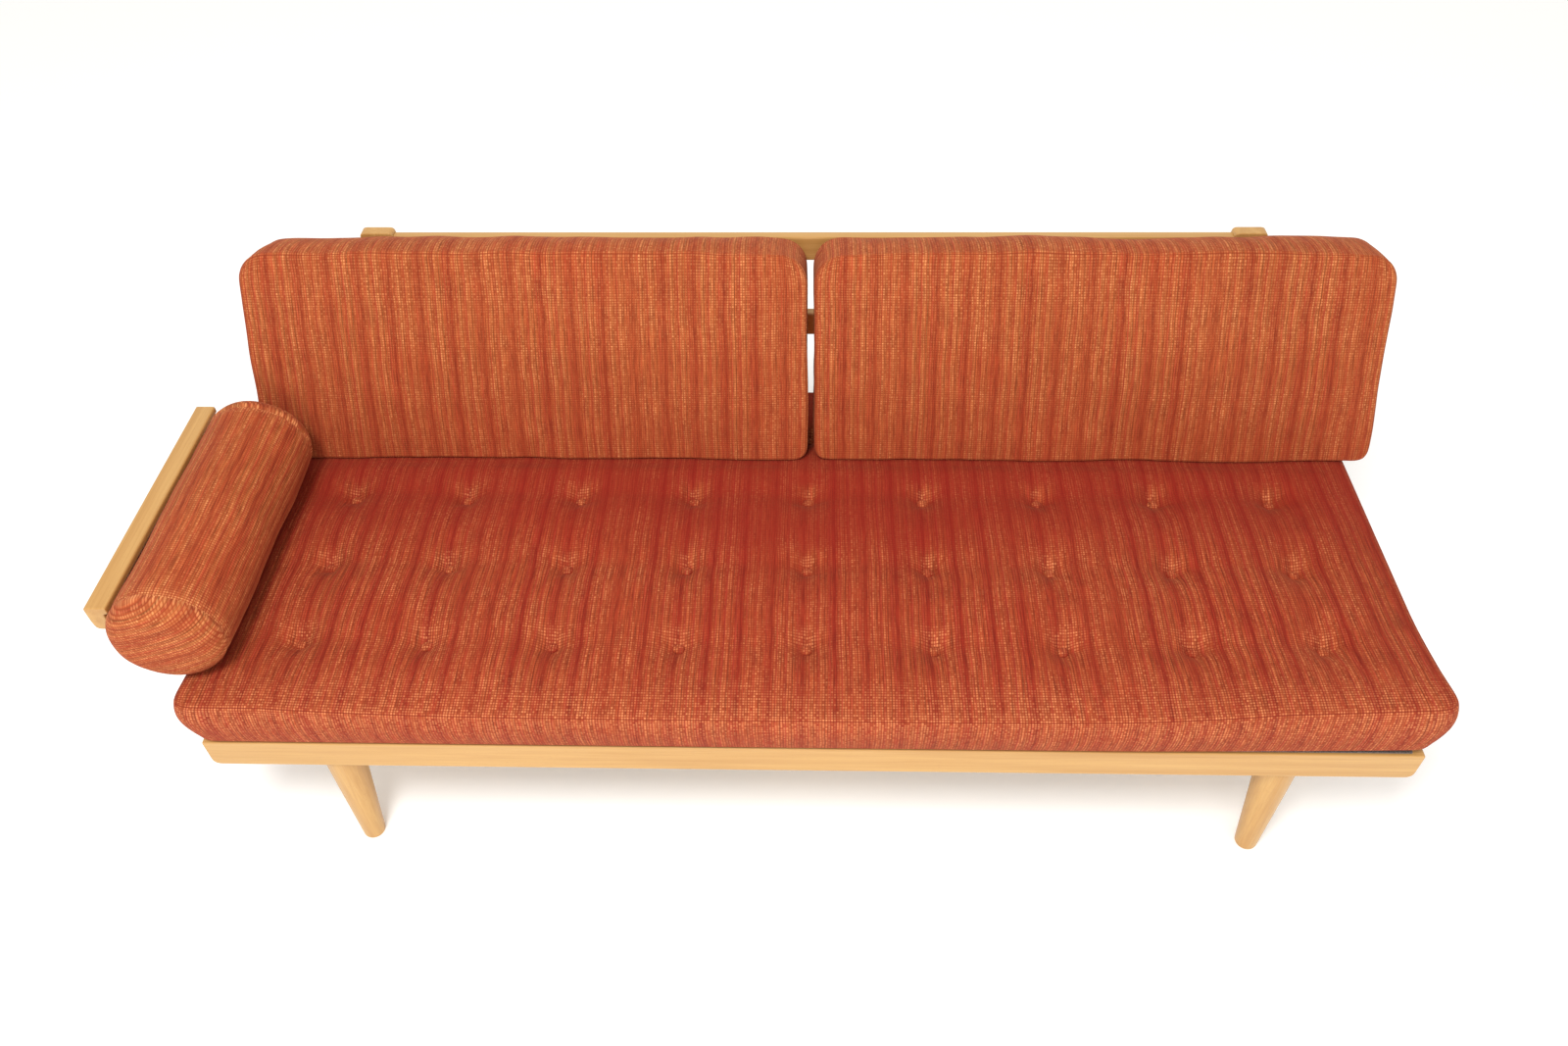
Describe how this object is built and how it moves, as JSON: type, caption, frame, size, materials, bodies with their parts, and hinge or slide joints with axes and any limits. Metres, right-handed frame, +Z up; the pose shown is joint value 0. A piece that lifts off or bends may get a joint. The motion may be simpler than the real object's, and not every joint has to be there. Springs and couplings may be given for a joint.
{
  "type": "daybed",
  "caption": "Long daybed on splayed turned legs, with a buttoned mattress, leaning back cushions on a lift-out back frame, and one lift-off arm holding a bolster.",
  "frame": {"origin": "middle of the object's footprint, on the floor", "axes": "+X along the length, away from the arm end; +Y towards the back frame; +Z up"},
  "size_m": [2.04, 0.7868, 0.7853],
  "materials": {
    "beech_lacquered": "clear satin lacquer, aged to honey",
    "beech_bare": "planed, unfinished",
    "zinc_plated_steel": "zinc plated",
    "brass": "aged, pan-head screws",
    "felt": "dark grey needled felt",
    "seat_wool": "striped basket-weave wool, red to orange",
    "back_wool": "striped basket-weave wool, orange to terracotta"
  },
  "bodies": {
    "frame": {"front_rail": "beech_lacquered", "rear_rail": "beech_lacquered", "end_rail_left": "beech_lacquered", "end_rail_right": "beech_lacquered", "bearer_left": "beech_lacquered", "bearer_middle": "beech_lacquered", "bearer_right": "beech_lacquered", "slat_ledger_front": "beech_lacquered", "slat_ledger_rear": "beech_lacquered", "leg_front_left": "beech_lacquered", "leg_front_right": "beech_lacquered", "leg_rear_left": "beech_lacquered", "leg_rear_right": "beech_lacquered", "slat_01": "beech_bare", "slat_02": "beech_bare", "slat_03": "beech_bare", "slat_04": "beech_bare", "slat_05": "beech_bare", "slat_06": "beech_bare", "slat_07": "beech_bare", "slat_08": "beech_bare", "slat_09": "beech_bare", "slat_10": "beech_bare", "slat_11": "beech_bare", "slat_12": "beech_bare", "leg_plate_front_left": "zinc_plated_steel", "leg_plate_front_right": "zinc_plated_steel", "leg_plate_rear_left": "zinc_plated_steel", "leg_plate_rear_right": "zinc_plated_steel", "leg_bolt_front_left": "zinc_plated_steel", "leg_bolt_front_right": "zinc_plated_steel", "leg_bolt_rear_left": "zinc_plated_steel", "leg_bolt_rear_right": "zinc_plated_steel", "back_cup_left": "zinc_plated_steel", "back_cup_right": "zinc_plated_steel", "arm_sleeve_front": "zinc_plated_steel", "arm_sleeve_rear": "zinc_plated_steel", "cup_screw_left_a": "brass", "cup_screw_left_b": "brass", "cup_screw_right_a": "brass", "cup_screw_right_b": "brass", "sleeve_screw_front_a": "brass", "sleeve_screw_front_b": "brass", "sleeve_screw_rear_a": "brass", "sleeve_screw_rear_b": "brass", "felt_underlay": "felt"},
    "back": {"back_upright_left": "beech_lacquered", "back_upright_right": "beech_lacquered", "back_top_rail": "beech_lacquered", "back_lower_rail": "beech_lacquered"},
    "arm": {"arm_rail": "beech_lacquered", "arm_post_front": "beech_lacquered", "arm_post_rear": "beech_lacquered"},
    "mattress": {"mattress": "seat_wool"},
    "cushion_left": {"back_cushion_left": "back_wool"},
    "cushion_right": {"back_cushion_right": "back_wool"},
    "bolster": {"bolster": "back_wool"}
  },
  "joints": [
    {"name": "back_lift", "type": "slide", "parent": "frame", "child": "back", "axis": [0, 0, 1], "range_m": [0, 0.12]},
    {"name": "arm_lift", "type": "slide", "parent": "frame", "child": "arm", "axis": [-0.401, 0, 0.9161], "range_m": [0, 0.1]},
    {"name": "mattress_lift", "type": "slide", "parent": "frame", "child": "mattress", "axis": [0, 0, 1], "range_m": [0, 0.15]},
    {"name": "back_cushion_left_lift", "type": "slide", "parent": "mattress", "child": "cushion_left", "axis": [0, 0, 1], "range_m": [0, 0.2]},
    {"name": "back_cushion_right_lift", "type": "slide", "parent": "mattress", "child": "cushion_right", "axis": [0, 0, 1], "range_m": [0, 0.2]},
    {"name": "bolster_lift", "type": "slide", "parent": "mattress", "child": "bolster", "axis": [0, 0, 1], "range_m": [0, 0.2]}
  ]
}
